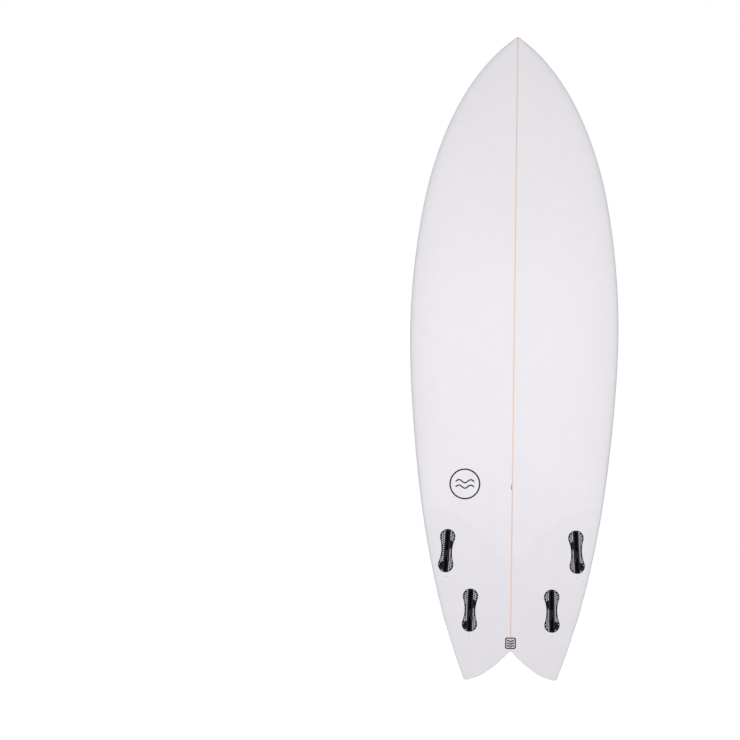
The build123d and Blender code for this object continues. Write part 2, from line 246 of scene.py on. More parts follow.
def surface(side, across, z):
    """Points on the deck or the bottom, with the trailing edge's rounding."""
    width, deck_height, bottom_height, apex = section(z)
    height = deck_height if side == DECK else bottom_height
    u, v = quarter_point(side, 1 - np.abs(across), z)
    x = np.sign(across) * u * width
    rise = height * v
    radius = np.minimum(EDGE_RADIUS[side], 0.45 * rise)
    inside = np.clip(1 - trail_distance(x, z) / np.maximum(radius, 1e-6), 0, 1)
    rise = rise - radius * (1 - np.sqrt(1 - inside**2))
    return np.stack([x, apex + side * rise, z + 0 * x], -1)


def surface_at(side, x, z):
    """The surface's points over plan points."""
    return surface(side, across_of(side, x, z), z)


def surface_normals(side, across, z):
    """Outward normals from the surface's own slopes."""
    step = 1e-4
    middle = np.abs(across) < 2 * step
    start = np.where(middle, across - step, across)
    end = np.where(middle, across + step, across - np.sign(across) * step)
    flip = np.where(end > start, 1, -1)[:, None]
    u_slope = (surface(side, end, z) - surface(side, start, z)) * flip
    low = np.minimum(z - 0.05, LENGTH - 0.2)
    z_slope = surface(side, across, low + 0.1) - surface(side, across, low)
    normal = np.cross(u_slope, z_slope) * side
    return unit(normal * np.where(normal[:, 1:2] * side < 0, -1, 1))


# ---- making meshes
def unit(vectors):
    """The same directions, each one unit long."""
    return vectors / np.maximum(np.linalg.norm(vectors, axis=-1, keepdims=True), 1e-12)


def left_of(steps):
    """Unit normals to the left of plan steps."""
    steps = unit(steps)
    return np.column_stack([-steps[:, 1], steps[:, 0]])


def circle(radius, steps, centre=(0, 0)):
    """An anticlockwise plan loop of points on a circle."""
    angle = np.linspace(0, 2 * math.pi, steps, endpoint=False)
    return np.column_stack([centre[0] + radius * np.cos(angle), centre[1] + radius * np.sin(angle)])


def with_height(plan, height=0.0):
    """Plan points with a height added as a third column."""
    return np.column_stack([plan, np.full(len(plan), height)])


def anticlockwise(loop):
    x, z = loop.T
    return np.sum(x * np.roll(z, -1) - np.roll(x, -1) * z) > 0


def triangulate(loops, extra=()):
    """Anticlockwise triangles over plan loops and further points, each with the loops that it lies in."""
    points = np.vstack([*loops, *extra])
    starts = np.cumsum([0] + [len(loop) for loop in loops])
    numbered = [list(range(a, b)) for a, b in zip(starts, starts[1:])]
    edges = [edge for loop in numbered for edge in zip(loop, loop[1:] + loop[:1])]
    turned = [loop if anticlockwise(points[loop]) else loop[::-1] for loop in numbered]
    out = delaunay_2d_cdt([Vector(p) for p in points.tolist()], edges, turned, 0, 1e-5, True)
    plan = np.array([tuple(v) for v in out[0]], float)
    for i, origin in enumerate(out[3]):
        if origin:
            plan[i] = points[origin[0]]
    triangles = []
    homes = []
    for face, ids in zip(out[2], out[5]):
        for i in range(1, len(face) - 1):
            triangles.append((face[0], face[i], face[i + 1]))
            homes.append(set(ids))
    triangles = np.array(triangles)
    a, b, c = (plan[triangles[:, i]] for i in range(3))
    to_b, to_c = b - a, c - a
    clockwise = to_b[:, 0] * to_c[:, 1] < to_b[:, 1] * to_c[:, 0]
    return plan, np.where(clockwise[:, None], triangles[:, ::-1], triangles), homes


def renumbered(triangles):
    """Which points the triangles use, and the triangles numbered by those."""
    used, numbers = np.unique(triangles, return_inverse=True)
    return used, numbers.reshape(triangles.shape)


def joined_points(points, triangles):
    """Points that coincide are joined, and triangles that this leaves empty are dropped."""
    keys = np.round(points / 2e-4).astype(np.int64)
    _, first, back = np.unique(keys, axis=0, return_index=True, return_inverse=True)
    joined = first[back.ravel()][triangles]
    a, b, c = joined.T
    return renumbered(joined[(a != b) & (b != c) & (a != c)])


def open_edges(triangles):
    """Edges with one triangle, in that triangle's direction."""
    seen = {}
    for a, b, c in triangles.tolist():
        for edge in ((a, b), (b, c), (c, a)):
            key = (min(edge), max(edge))
            seen[key] = None if key in seen else edge
    return [edge for edge in seen.values() if edge]


def sheet_faces(triangles, count):
    """Faces of a thin solid with the same triangles on two sets of points, and their open edges."""
    rim = open_edges(triangles)
    sides = [(a + count, b + count, b, a) for a, b in rim]
    return triangles.tolist() + (triangles[:, ::-1] + count).tolist() + sides, rim


def tube_faces(rings, count):
    """Faces through rings of points, with a cap at each end."""
    faces = [tuple(range(count))]
    for start in range(0, (rings - 1) * count, count):
        for k in range(count):
            a, b = start + k, start + (k + 1) % count
            faces.append((a, a + count, b + count, b))
    last = rings * count - 1
    return faces + [tuple(range(last, last - count, -1))]


def new_object(name, data):
    """A new object in the scene."""
    made = bpy.data.objects.new(name, data)
    bpy.context.scene.collection.objects.link(made)
    return made


def make_object(name, points, faces, materials, slots=None, normals=None, smooth=False):
    """A new mesh object from points in millimetres. A smooth one stays sharp at edges over SHARP_FROM."""
    mesh = bpy.data.meshes.new(name)
    mesh.from_pydata((np.asarray(points, float) * MM).tolist(), [], [list(map(int, f)) for f in faces])
    for material in materials:
        mesh.materials.append(material)
    if slots:
        mesh.polygons.foreach_set("material_index", np.array(slots, np.int32))
    mesh.polygons.foreach_set("use_smooth", np.full(len(mesh.polygons), smooth or normals is not None))
    if normals is not None:
        mesh.normals_split_custom_set(np.asarray(normals, float).tolist())
    mesh.validate(clean_customdata=False)
    if smooth:
        mesh.set_sharp_from_angle(angle=SHARP_FROM)
    return new_object(name, mesh)


def mesh_normals(points, triangles):
    """Area-weighted normals at the points."""
    a, b, c = (points[triangles[:, i]] for i in range(3))
    face = np.cross(b - a, c - a)
    total = np.zeros_like(points)
    for i in range(3):
        np.add.at(total, triangles[:, i], face)
    return unit(total)


def closed_sheet(name, top, under, triangles, materials, slots=None, top_normals=None):
    """A thin closed solid between two copies of the same triangles."""
    points = np.vstack([top, under])
    faces, rim = sheet_faces(triangles, len(top))
    if slots:
        owner = {}
        for (a, b, c), slot in zip(triangles.tolist(), slots):
            owner.update({(a, b): slot, (b, c): slot, (c, a): slot})
        slots = slots * 2 + [owner[edge] for edge in rim]
    normals = None
    if top_normals is not None:
        corners = [top_normals[triangles.ravel()], -top_normals[triangles[:, ::-1].ravel()]]
        a, b, c = (points[[face[i] for face in faces[-len(rim):]]] for i in range(3))
        normals = np.vstack(corners + [np.repeat(unit(np.cross(b - a, c - b)), 4, axis=0)])
    return make_object(name, points, faces, materials, slots, normals)


# ---- fin plug outline and places
def dog_bone(steps=20):
    """The plug's outline, anticlockwise: two round lobes joined by a waist."""
    centre = PLUG_LENGTH / 2 - LOBE_RADIUS
    half = WAIST / 2
    radius = (centre**2 + half**2 - LOBE_RADIUS**2) / (2 * (LOBE_RADIUS - half))
    lean = math.atan2(half + radius, centre)
    lobe = np.linspace(-(math.pi - lean), math.pi - lean, 3 * steps, endpoint=False)
    waist = np.linspace(-lean, lean - math.pi, steps, endpoint=False)
    right = np.column_stack([centre + LOBE_RADIUS * np.cos(lobe), LOBE_RADIUS * np.sin(lobe)])
    upper = np.column_stack([radius * np.cos(waist), half + radius + radius * np.sin(waist)])
    first = np.vstack([right, upper])
    return np.vstack([first, -first])


def place_on(side, x, z, toe=0.0):
    """Origin, x, y and z directions of a plane touching the surface, its x to the nose."""
    probe = 4.0
    around = np.array([(probe, 0), (-probe, 0), (0, probe), (0, -probe), (0, 0)]) + (x, z)
    ys = surface_at(side, *around.T)[:, 1]
    out = unit(np.array([ys[1] - ys[0], 2 * probe, ys[3] - ys[2]]) * side)
    turn = math.radians(toe) * math.copysign(1, x)
    ahead = np.array([-math.sin(turn), 0, math.cos(turn)])
    ahead = unit(ahead - out * (ahead @ out))
    return np.array([x, ys[4], z]), ahead, np.cross(out, ahead), out


def onto_surface(side, place, local):
    """Local points (along, across, height) set on the surface, which may curve away from the plane."""
    origin, ahead, beside, out = place
    flat = origin + local[:, :1] * ahead + local[:, 1:2] * beside
    gap = np.zeros(len(flat))
    for _ in range(3):
        spot = flat + gap[:, None] * out
        true_y = surface_at(side, spot[:, 0], spot[:, 2])[:, 1]
        gap = gap + (true_y - spot[:, 1]) * out[1]
    return flat + (gap + local[:, 2])[:, None] * out


plug_places = {name: place_on(BOTTOM, hand * x, z, toe) for name, hand, x, z, toe in PLUGS}
leash_place = place_on(DECK, *LEASH_AT)


def on_bottom(name, plan, hand, height=0.0):
    """A plug's plan points at a height, on the bottom. The left plugs mirror the right ones."""
    return onto_surface(BOTTOM, plug_places[name], with_height(plan * (1, hand), height))


holes = {
    DECK: [onto_surface(DECK, leash_place, with_height(circle(CUP_RADIUS, 96)))],
    BOTTOM: [on_bottom(name, dog_bone(), hand) for name, hand, *_ in PLUGS],
}

# ---- the two glassed skins
SPREAD = 270.0
COLUMNS = 58
ROW_STEP = 8.5
EDGE_ROWS = [0.15, 0.5, 1.1, 1.9, 2.9, 4.0, 6.0]
EDGE_CLEARANCE = 2.0
HOLE_CLEARANCE = 2.6
rail_start = TRAIL[-1, 1]
nose_rows = LENGTH - np.array([0.06, 0.3, 0.8, 1.6, 2.7, 4.0, 5.2, 7.0, 9.5, 13.0, 17.5])
rows = np.concatenate([np.arange(rail_start + 2.5, LENGTH - 20, ROW_STEP), nose_rows[::-1]])


def inside_loop(p, loop):
    """Whether a point is inside a closed plan loop."""
    a, b = loop.T, np.roll(loop, -1, axis=0).T
    crosses = (a[1] > p[1]) != (b[1] > p[1])
    with np.errstate(divide="ignore", invalid="ignore"):
        at = a[0] + (p[1] - a[1]) * (b[0] - a[0]) / (b[1] - a[1])
    return np.count_nonzero(crosses & (p[0] < at)) % 2 == 1


def near_hole(x, z, loops, margin):
    """Which plan points lie within a hole or near its edge."""
    hit = np.zeros(np.shape(x), bool)
    for loop in loops:
        plan = loop[:, [0, 2]]
        low, high = plan.min(0) - margin, plan.max(0) + margin
        for i in np.flatnonzero((x > low[0]) & (x < high[0]) & (z > low[1]) & (z < high[1])):
            p = np.array([x[i], z[i]])
            hit[i] |= np.hypot(*(plan - p).T).min() < margin or inside_loop(p, plan)
    return hit


def edge_rows():
    """Plan points at a few distances inside the trailing edge, where it is rounded."""
    normal = left_of(np.gradient(TRAIL, axis=0))
    first = math.atan2(normal[0, 1], normal[0, 0])
    fan = np.linspace(first, math.pi - first, 9)
    found = []
    for gap in EDGE_ROWS:
        line = TRAIL + normal * gap
        ok = np.abs(trail_distance(*line.T) - gap) < 0.04 * gap
        ok &= line[:, 0] < half_width(line[:, 1]) - 0.5
        ok &= line[:, 0] > 0.2
        line = line[ok]
        apex = TRAIL[0] + gap * np.column_stack([np.cos(fan), np.sin(fan)])
        found += [line, line * (-1, 1), apex]
    return np.vstack(found)


def trail_across(side):
    """The places across the section of the trailing edge, whose ends are on the rails."""
    across = across_of(side, *TRAIL_BOTH.T)
    across[[0, -1]] = -1, 1
    return across


def skin_mesh(side):
    """Points, triangles and normals of the deck or the bottom, open where the hardware sits."""
    fractions = np.linspace(0, 1, COLUMNS + 1)
    columns = np.concatenate([-fractions[:0:-1], fractions])
    grid = np.stack(np.meshgrid(columns[1:-1], rows), -1).reshape(-1, 2)
    z = grid[:, 1]
    x = surface(side, grid[:, 0], z)[:, 0]
    far = trail_distance(x, z) > EDGE_ROWS[-1] + EDGE_CLEARANCE
    above = (z > NOTCH_Z) | (np.abs(x) > np.interp(z, TRAIL[::-1, 1], TRAIL[::-1, 0]))
    free = far & above & ~near_hole(x, z, holes[side], HOLE_CLEARANCE)

    def flat(across, z):
        """Points in the flat plan that the triangles are made in, SPREAD wide on each side."""
        return np.column_stack([SPREAD * across, z])

    rail = np.ones(len(rows))
    outline = [
        flat(trail_across(side), TRAIL_BOTH[:, 1]), flat(rail, rows),
        flat(columns[::-1], np.full(len(columns), LENGTH)), flat(-rail, rows[::-1]),
    ]
    openings = [flat(across_of(side, x, z), z) for x, _, z in (loop.T for loop in holes[side])]
    edge_x, edge_z = edge_rows().T
    inner = [flat(*grid[free].T), flat(across_of(side, edge_x, edge_z), edge_z)]
    plan, triangles, homes = triangulate([np.vstack(outline)] + openings, inner)
    triangles = triangles[[home == {0} for home in homes]]
    across, z = plan[:, 0] / SPREAD, plan[:, 1]
    if side == BOTTOM:
        triangles = triangles[:, ::-1]
    return surface(side, across, z), triangles, surface_normals(side, across, z)


def build_skin(name, side, material):
    """One glassed skin as a thin closed shell. The deck's also wraps over the trailing edge."""
    points, triangles, normals = skin_mesh(side)
    if side == DECK:
        upper, lower = (surface(s, trail_across(s), TRAIL_BOTH[:, 1]) for s in (DECK, BOTTOM))
        match = [int(np.argmin(((points - p) ** 2).sum(1))) for p in upper]
        strip = []
        for c, (a, b) in enumerate(zip(match, match[1:]), len(points)):
            strip += [(a, c, b), (b, c, c + 1)]
        points = np.vstack([points, lower])
        normals = np.vstack([normals, np.zeros_like(lower)])
        triangles = np.vstack([triangles, strip])
    used, triangles = joined_points(points, triangles)
    points, normals = points[used], normals[used]
    soft = trail_distance(points[:, 0], points[:, 2]) < EDGE_RADIUS[side] + 0.3
    soft |= points[:, 2] > LENGTH - 0.9
    normals = np.where(soft[:, None], mesh_normals(points, triangles), normals)
    # At the rail the two skins meet on the section's widest line, where the normal lies level.
    under = points - normals * SHELL
    return closed_sheet(name, points, under, triangles, [material], top_normals=normals)


# ---- materials
def add(tree, kind, inputs=None, **settings):
    """A shader node with its settings, whose inputs are numbers or other nodes' outputs."""
    made = tree.nodes.new("ShaderNode" + kind)
    for key, value in settings.items():
        setattr(made, key, value)
    for key, value in (inputs or {}).items():
        if isinstance(value, bpy.types.NodeSocket):
            tree.links.new(value, made.inputs[key])
        else:
            made.inputs[key].default_value = value
    return made


def new_material(name):
    """A material with only the object coordinates in its node tree."""
    made = bpy.data.materials.new(name)
    made.use_nodes = True
    made.node_tree.nodes.clear()
    add(made.node_tree, "TexCoord", name="where")
    return made, made.node_tree


def where(tree):
    return tree.nodes["where"].outputs["Object"]


def finished(made, colour, gloss, height, strength, depth, uniform=None):
    """Gives a material its shader. gloss is a value with the roughness at 0 and at 1, and uniform values
    are set on the shader's own sockets."""
    tree = made.node_tree
    rough = spread(tree, *gloss)
    bump = add(tree, "Bump", {"Height": height, "Strength": strength, "Distance": depth})
    sockets = {"Base Color": colour, "Roughness": rough, "Normal": bump.outputs[0], **(uniform or {})}
    shader = add(tree, "BsdfPrincipled", sockets)
    add(tree, "OutputMaterial", {0: shader.outputs[0]})
    return made


def maths(tree, operation, a, b=0.0, c=0.0):
    return add(tree, "Math", {0: a, 1: b, 2: c}, operation=operation).outputs[0]


def srgb(*levels):
    """A linear colour from 0 to 255 screen levels."""
    values = [v / 255 for v in levels]
    return tuple(v / 12.92 if v <= 0.04045 else ((v + 0.055) / 1.055) ** 2.4 for v in values) + (1,)


def shade(colour, factor):
    """A linear colour made darker or lighter."""
    return tuple(min(1.0, c * factor) for c in colour[:3]) + (1,)


def noise(tree, scale, detail=3.0, rough=0.55):
    """Noise, with one scale or with three for the three axes."""
    vector = where(tree)
    if isinstance(scale, tuple):
        vector = add(tree, "Mapping", {"Vector": vector, "Scale": scale}).outputs[0]
        scale = 1.0
    inputs = {"Vector": vector, "Scale": scale, "Detail": detail, "Roughness": rough}
    return add(tree, "TexNoise", inputs).outputs["Fac"]


def threads(tree, axis):
    """Slightly uneven bands across an axis, as a woven cloth's threads."""
    inputs = {"Vector": where(tree), "Scale": 160, "Distortion": 0.4, "Detail": 1}
    return add(tree, "TexWave", inputs, wave_type="BANDS", bands_direction=axis).outputs["Fac"]


def mix(tree, factor, a, b, blend="MIX"):
    inputs = {0: factor, 6: a, 7: b}
    return add(tree, "Mix", inputs, data_type="RGBA", blend_type=blend).outputs[2]


def spread(tree, value, low, high, start=0.0, end=1.0):
    """A value between start and end mapped to a range."""
    inputs = {"Value": value, "From Min": start, "From Max": end, "To Min": low, "To Max": high}
    return add(tree, "MapRange", inputs).outputs[0]


RESIN_COAT = {"Coat Weight": 0.35, "Coat Roughness": 0.08}
PRINT_COAT = {"Specular IOR Level": 0.2, "Coat Weight": 0.12, "Coat Roughness": 0.08}
PATCH_EDGE = [(0, 316), (16, 321), (68, 372), (135, 423), (208, 446), (300, 452)]
PATCH_SPAN = (300.0, 500.0)
PATCH_FADE = 1.5


def patch_tint(tree, colour):
    """The second layer of cloth over the fins shows as a slightly cooler area behind a curved edge."""
    x, _, z = add(tree, "SeparateXYZ", {0: where(tree)}).outputs
    share = maths(tree, "MULTIPLY", maths(tree, "ABSOLUTE", x), 1 / (PATCH_SPAN[0] * MM))
    curve = add(tree, "FloatCurve", {"Value": share})
    points = curve.mapping.curves[0].points
    places = [(x / PATCH_SPAN[0], z / PATCH_SPAN[1]) for x, z in PATCH_EDGE]
    points[0].location = places[0]
    points[1].location = places[-1]
    for place in places[1:-1]:
        points.new(*place)
    curve.mapping.update()
    edge = maths(tree, "MULTIPLY", curve.outputs[0], PATCH_SPAN[1] * MM)
    behind = maths(tree, "SUBTRACT", edge, z)
    within = spread(tree, behind, 0.0, 1.0, -PATCH_FADE * MM, PATCH_FADE * MM)
    amount = maths(tree, "MULTIPLY", within, spread(tree, noise(tree, 300, 2, 0.5), 0.6, 1.0))
    return mix(tree, amount, colour, (0.965, 0.966, 0.974, 1), "MULTIPLY")


def glass_skin(name, base, side):
    """White foam seen through clear gloss resin, with the cloth's weave, shaping lines and faint mottling."""
    made, tree = new_material(name)
    mottle = spread(tree, noise(tree, 26, 5, 0.6), -0.5, 0.5)
    streaks = spread(tree, noise(tree, (95, 10, 1.6), 3, 0.6), -0.15, 0.15)
    cells = spread(tree, noise(tree, 900, 2, 0.5), -0.35, 0.35)
    total = maths(tree, "ADD", maths(tree, "ADD", mottle, streaks), cells)
    amount = maths(tree, "MULTIPLY_ADD", total, 0.9, 0.5)
    colour = mix(tree, amount, shade(base, 0.965), shade(base, 1.03))
    if side == BOTTOM:
        colour = patch_tint(tree, colour)
    weave = maths(tree, "MAXIMUM", threads(tree, "X"), threads(tree, "Z"))
    colour = mix(tree, maths(tree, "MULTIPLY", weave, 0.02), colour, srgb(206, 204, 212))
    orange_peel = noise(tree, 55, 2, 0.4)
    height = maths(tree, "MULTIPLY_ADD", weave, 0.05, orange_peel)
    gloss = (noise(tree, 18), 0.19, 0.265)
    return finished(made, colour, gloss, height, 0.12, 0.0006, RESIN_COAT)


def moulded(name, colour, low=0.28, high=0.42, grain=700, depth=0.00006, shine=0.5):
    """Moulded plastic: slight colour and gloss variation and a fine grain."""
    made, tree = new_material(name)
    tone = mix(tree, noise(tree, 220, 4), shade(colour, 0.8), shade(colour, 1.25))
    gloss = (noise(tree, 130), low, high)
    return finished(made, tone, gloss, noise(tree, grain), 0.25, depth, {"Specular IOR Level": shine})


def steel(name, colour, low=0.22, high=0.4):
    """Machined steel with fine turning lines."""
    made, tree = new_material(name)
    lines = noise(tree, (900, 900, 60))
    tone = mix(tree, lines, shade(colour, 0.75), colour)
    return finished(made, tone, (lines, low, high), lines, 0.2, 0.00004, {"Metallic": 1.0})


def rubber(name, colour):
    """Dull moulded rubber with a fine grain."""
    made, tree = new_material(name)
    tone = mix(tree, noise(tree, 500, 4), shade(colour, 0.7), colour)
    gloss = (noise(tree, 300, 2), 0.5, 0.7)
    return finished(made, tone, gloss, noise(tree, 1500, 2), 0.3, 0.00005)


def wood(name, dark, light):
    """Wood seen through clear resin, with long grain."""
    made, tree = new_material(name)
    grain = noise(tree, (1400, 90, 7), 5, 0.6)
    fine = noise(tree, (2600, 300, 40), 2, 0.5)
    amount = maths(tree, "MULTIPLY_ADD", grain, 0.75, maths(tree, "MULTIPLY", fine, 0.3))
    tone = mix(tree, amount, dark, light)
    return finished(made, tone, (fine, 0.2, 0.265), fine, 0.08, 0.0001, RESIN_COAT)


def printed(name, colour, other, speckle=0.35):
    """Ink on thin paper under resin: a little uneven, with the paper's fibres."""
    made, tree = new_material(name)
    fibres = noise(tree, 420, 5, 0.65)
    blotch = noise(tree, 90)
    amount = maths(tree, "MULTIPLY", maths(tree, "MULTIPLY", fibres, blotch), 2.2 * speckle)
    tone = mix(tree, amount, colour, other)
    return finished(made, tone, (blotch, 0.18, 0.265), fibres, 0.06, 0.00005, PRINT_COAT)


def foam(name, dark, light):
    """Sanded closed-cell foam."""
    made, tree = new_material(name)
    cells = add(tree, "TexVoronoi", {"Vector": where(tree), "Scale": 900}).outputs["Distance"]
    tone = mix(tree, cells, dark, light)
    return finished(made, tone, (cells, 0.75, 0.95), cells, 0.3, 0.0003)


deck_glass = glass_skin("deck_gloss_glass", srgb(237, 234, 238), DECK)
bottom_glass = glass_skin("bottom_gloss_glass", srgb(237, 234, 239), BOTTOM)
cloth = moulded("patch_cloth", srgb(228, 226, 232), 0.3, 0.45)
foam_white = foam("blank_foam", srgb(228, 225, 222), srgb(246, 244, 240))
basswood = wood("stringer_basswood", srgb(212, 168, 148), srgb(250, 226, 212))
black_plastic = moulded("plug_black_plastic", srgb(33, 33, 34), shine=0.18)
# Painted shade: a darker, matt copy of the plug plastic for the insides of the slots and the niche.
shaded_plastic = moulded("plug_painted_shade_plastic", srgb(16, 16, 17), 0.5, 0.65, shine=0.08)
lattice_plastic = moulded("plug_lattice_plastic", srgb(38, 37, 50), shine=0.2)
resin = moulded("set_resin", srgb(205, 202, 216), 0.15, 0.265, 500, 0.0001)
orange_rubber = rubber("elastomer_orange", srgb(118, 46, 34))
roller_plastic = moulded("roller_grey", srgb(70, 70, 74))
screw_steel = steel("screw_steel", srgb(158, 152, 146))
bar_steel = steel("leash_bar_steel", srgb(206, 206, 208), 0.18, 0.32)
cup_plastic = moulded("leash_cup_plastic", srgb(22, 22, 24), shine=0.2)
ink_dark = printed("ink_dark", srgb(38, 38, 52), srgb(60, 60, 78))
ink_grey = printed("ink_grey", srgb(118, 114, 124), srgb(150, 146, 154))
paper = printed("label_paper", srgb(216, 212, 213), srgb(196, 192, 194))
ring_ink = printed("ring_ink", srgb(32, 31, 42), srgb(58, 56, 68))
badge_ink = printed("badge_ink", srgb(38, 36, 42), srgb(64, 62, 68))
pencil = printed("pencil_grey", srgb(120, 106, 120), srgb(176, 166, 176), 0.8)


def keep(piece, slot, *nodes):
    """Sets a piece on the board in place of its CAD nodes. slot, the name of its finish, is not used."""
    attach(piece, "board")
    if nodes:
        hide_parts(*nodes)


keep(build_skin("deck_skin", DECK, deck_glass), "deck_glass", "deck_laminate")
keep(build_skin("bottom_skin", BOTTOM, bottom_glass), "bottom_glass", "bottom_laminate")

# ---- the stringer
STRINGER_HALF = 1.6
PROUD = 0.08
STRINGER_STEP = 6.0


def build_stringer():
    """A slab of wood from the notch to the nose, a little proud of both faces."""
    notch_rows = NOTCH_Z + np.array([-PROUD, 0.3] + EDGE_ROWS[1:])
    nose_rows = LENGTH - np.array([9, 7, 5.5, 4.5, 3.5, 2.5, 1.8])
    heights = np.concatenate([notch_rows, np.arange(NOTCH_Z + 10, LENGTH - 12, STRINGER_STEP), nose_rows])
    lines = []
    for side in (DECK, BOTTOM):
        for x in (side * STRINGER_HALF, 0.0, -side * STRINGER_HALF):
            x = np.full(len(heights), x)
            face = surface_at(side, x, np.maximum(heights, NOTCH_Z + 0.02))
            lines.append(np.column_stack([x, face[:, 1] + side * PROUD, heights]))
    points = np.stack(lines, 1).reshape(-1, 3)
    return make_object("stringer_slab", points, tube_faces(len(heights), len(lines)), [basswood])


keep(build_stringer(), "stringer_wood", "stringer")


# ---- fin plugs
CELL_PITCH = 5.1
CELL_SIZE = 1.94
RIM = 2.1
RIM_TO_CELL = 0.2
PLATE_THICKNESS = 1.2
PLATE_SUNK = 0.02
RESIN_DEPTH = 0.35
RESIN_SHARE = 0.995
CORE_MARGIN = 0.35
SHADE_FROM = 0.4
SLOT_CORNER = 1.2
PAD_SHARE = 0.985
FRAME_WALL = 0.9
CORE_EDGE = 0.22
CLEAR = 5.0  # a cutting block's height above the plug


def rectangle(low_x, high_x, low_y, high_y):
    return [(low_x, low_y), (high_x, low_y), (high_x, high_y), (low_x, high_y)]


def arc(centre, radius, start, end, steps=6):
    """Points on part of a circle, between two angles in degrees."""
    angle = np.radians(np.linspace(start, end, steps))
    return [(centre[0] + radius * math.cos(a), centre[1] + radius * math.sin(a)) for a in angle]


def rounded_rectangle(low_x, high_x, low_y, high_y, radius, steps=6):
    """An anticlockwise plan loop with round corners."""
    points = []
    centres = [(high_x - radius, high_y - radius, 0), (low_x + radius, high_y - radius, 90),
               (low_x + radius, low_y + radius, 180), (high_x - radius, low_y + radius, 270)]
    for x, y, start in centres:
        points += arc((x, y), radius, start, start + 90, steps)
    return points


def prism(plan, low, high):
    """A closed prism over a plan loop, as points and faces."""
    count = len(plan)
    points = np.vstack([with_height(plan, low), with_height(plan, high)])
    faces = [tuple(range(count))[::-1], tuple(range(count, 2 * count))]
    faces += [(i, (i + 1) % count, (i + 1) % count + count, i + count) for i in range(count)]
    return points, faces


def solid(points, faces):
    """A working object, in millimetres, for cutting and joining."""
    mesh = bpy.data.meshes.new("work")
    mesh.from_pydata(points.tolist(), [], faces)
    return new_object("work", mesh)


def apply_modifiers(piece):
    """The piece's mesh becomes what its modifiers make of it."""
    evaluated = piece.evaluated_get(bpy.context.evaluated_depsgraph_get())
    mesh = bpy.data.meshes.new_from_object(evaluated)
    piece.modifiers.clear()
    piece.data = mesh


def combine(body, operation, tool):
    """Cuts or joins one working object with another, which is used up."""
    modifier = body.modifiers.new("combine", "BOOLEAN")
    modifier.operation = operation
    modifier.solver = "EXACT"
    modifier.object = tool
    apply_modifiers(body)
    bpy.data.objects.remove(tool)


def broken_edges(body, width, segments):
    """Rounds a working object's sharp edges. Gives its points, faces and faces' heights; the object goes."""
    edges = body.modifiers.new("edges", "BEVEL")
    edges.width = width
    edges.segments = segments
    edges.limit_method = "ANGLE"
    edges.angle_limit = math.radians(50)
    apply_modifiers(body)
    points = np.array([v.co[:] for v in body.data.vertices])
    faces = [tuple(p.vertices) for p in body.data.polygons]
    heights = [p.center.z for p in body.data.polygons]
    bpy.data.objects.remove(body)
    return points, faces, heights


def boss_plan(x, side, reach):
    """The boss's plan, with cut outer corners, anticlockwise."""
    half = BOSS_LENGTH / 2
    cut = BOSS_CORNER
    plan = [(x - half, 0), (x + half, 0), (x + half, reach - cut), (x + half - cut, reach),
            (x - half + cut, reach), (x - half, reach - cut)]
    return [(a, side * b) for a, b in plan[::side]]


def bore(x, side):
    """The tilted hole of one grub screw."""
    points, faces = prism(circle(SCREW_BORE, 40), -0.5, 22.0)
    out = np.array([0, side * math.sin(SCREW_TILT), math.cos(SCREW_TILT)])
    ahead = np.array([1.0, 0, 0])
    start = np.array([x, side * SLOT_WIDTH / 2, -SCREW_EXIT_DEPTH])
    return start + points @ np.array([ahead, np.cross(out, ahead), out]), faces


NICHE = (NICHE_CENTRE - NICHE_HALF, NICHE_CENTRE + NICHE_HALF)
NICHE_ROOF = -PLATE_THICKNESS - 0.2
WINDOW_FRAME = rectangle(NICHE[0] - FRAME_WALL, NICHE[1] + FRAME_WALL, -NICHE_WINDOW - FRAME_WALL, 0)
BAR_PLAN = rectangle(-BAR[0] / 2, BAR[0] / 2, -BAR[1] / 2, BAR[1] / 2)


def plug_core():
    """The plug's solid middle: bar, bosses and niche housing, cut by slots, bores and the roller's niche."""
    def block(plan, low, high):
        return solid(*prism(plan, low, high))

    body = block(BAR_PLAN, -BAR[2], 0)
    for boss in BOSSES:
        pad = block(boss_plan(*boss), -BOSS_DEPTH, 0)
        combine(pad, "INTERSECT", block(dog_bone() * PAD_SHARE, -30, 10))
        combine(body, "UNION", pad)
    wall = NICHE_WALL
    house = rectangle(NICHE[0] - wall, NICHE[1] + wall, -NICHE_BACK - wall, 0)
    combine(body, "UNION", block(house, -NICHE_DEPTH - wall, NICHE_ROOF))
    combine(body, "UNION", block(WINDOW_FRAME, -NICHE_DEPTH, -0.001))
    for low, high in SLOTS:
        ends = rounded_rectangle(low, high, -SLOT_WIDTH / 2, SLOT_WIDTH / 2, SLOT_CORNER)
        combine(body, "DIFFERENCE", block(ends, -SLOT_DEPTH, CLEAR))
    for x, side, _ in BOSSES:
        combine(body, "DIFFERENCE", solid(*bore(x, side)))
    combine(body, "DIFFERENCE", block(rectangle(*NICHE, -NICHE_BACK, 0), -NICHE_DEPTH, NICHE_ROOF - wall / 2))
    combine(body, "DIFFERENCE", block(rectangle(*NICHE, -NICHE_WINDOW, 0), -NICHE_DEPTH, CLEAR))
    return broken_edges(body, CORE_EDGE, 2)


def inset_loop(loop, distance):
    """A smooth anticlockwise loop moved in by a distance."""
    return loop + distance * left_of(np.roll(loop, -1, axis=0) - np.roll(loop, 1, axis=0))


def grown(loop, margin):
    """A plan loop scaled about its middle so that it reaches a margin further out."""
    low, high = loop.min(0), loop.max(0)
    middle = (high + low) / 2
    return middle + (loop - middle) * (1 + margin / ((high - low) / 2))


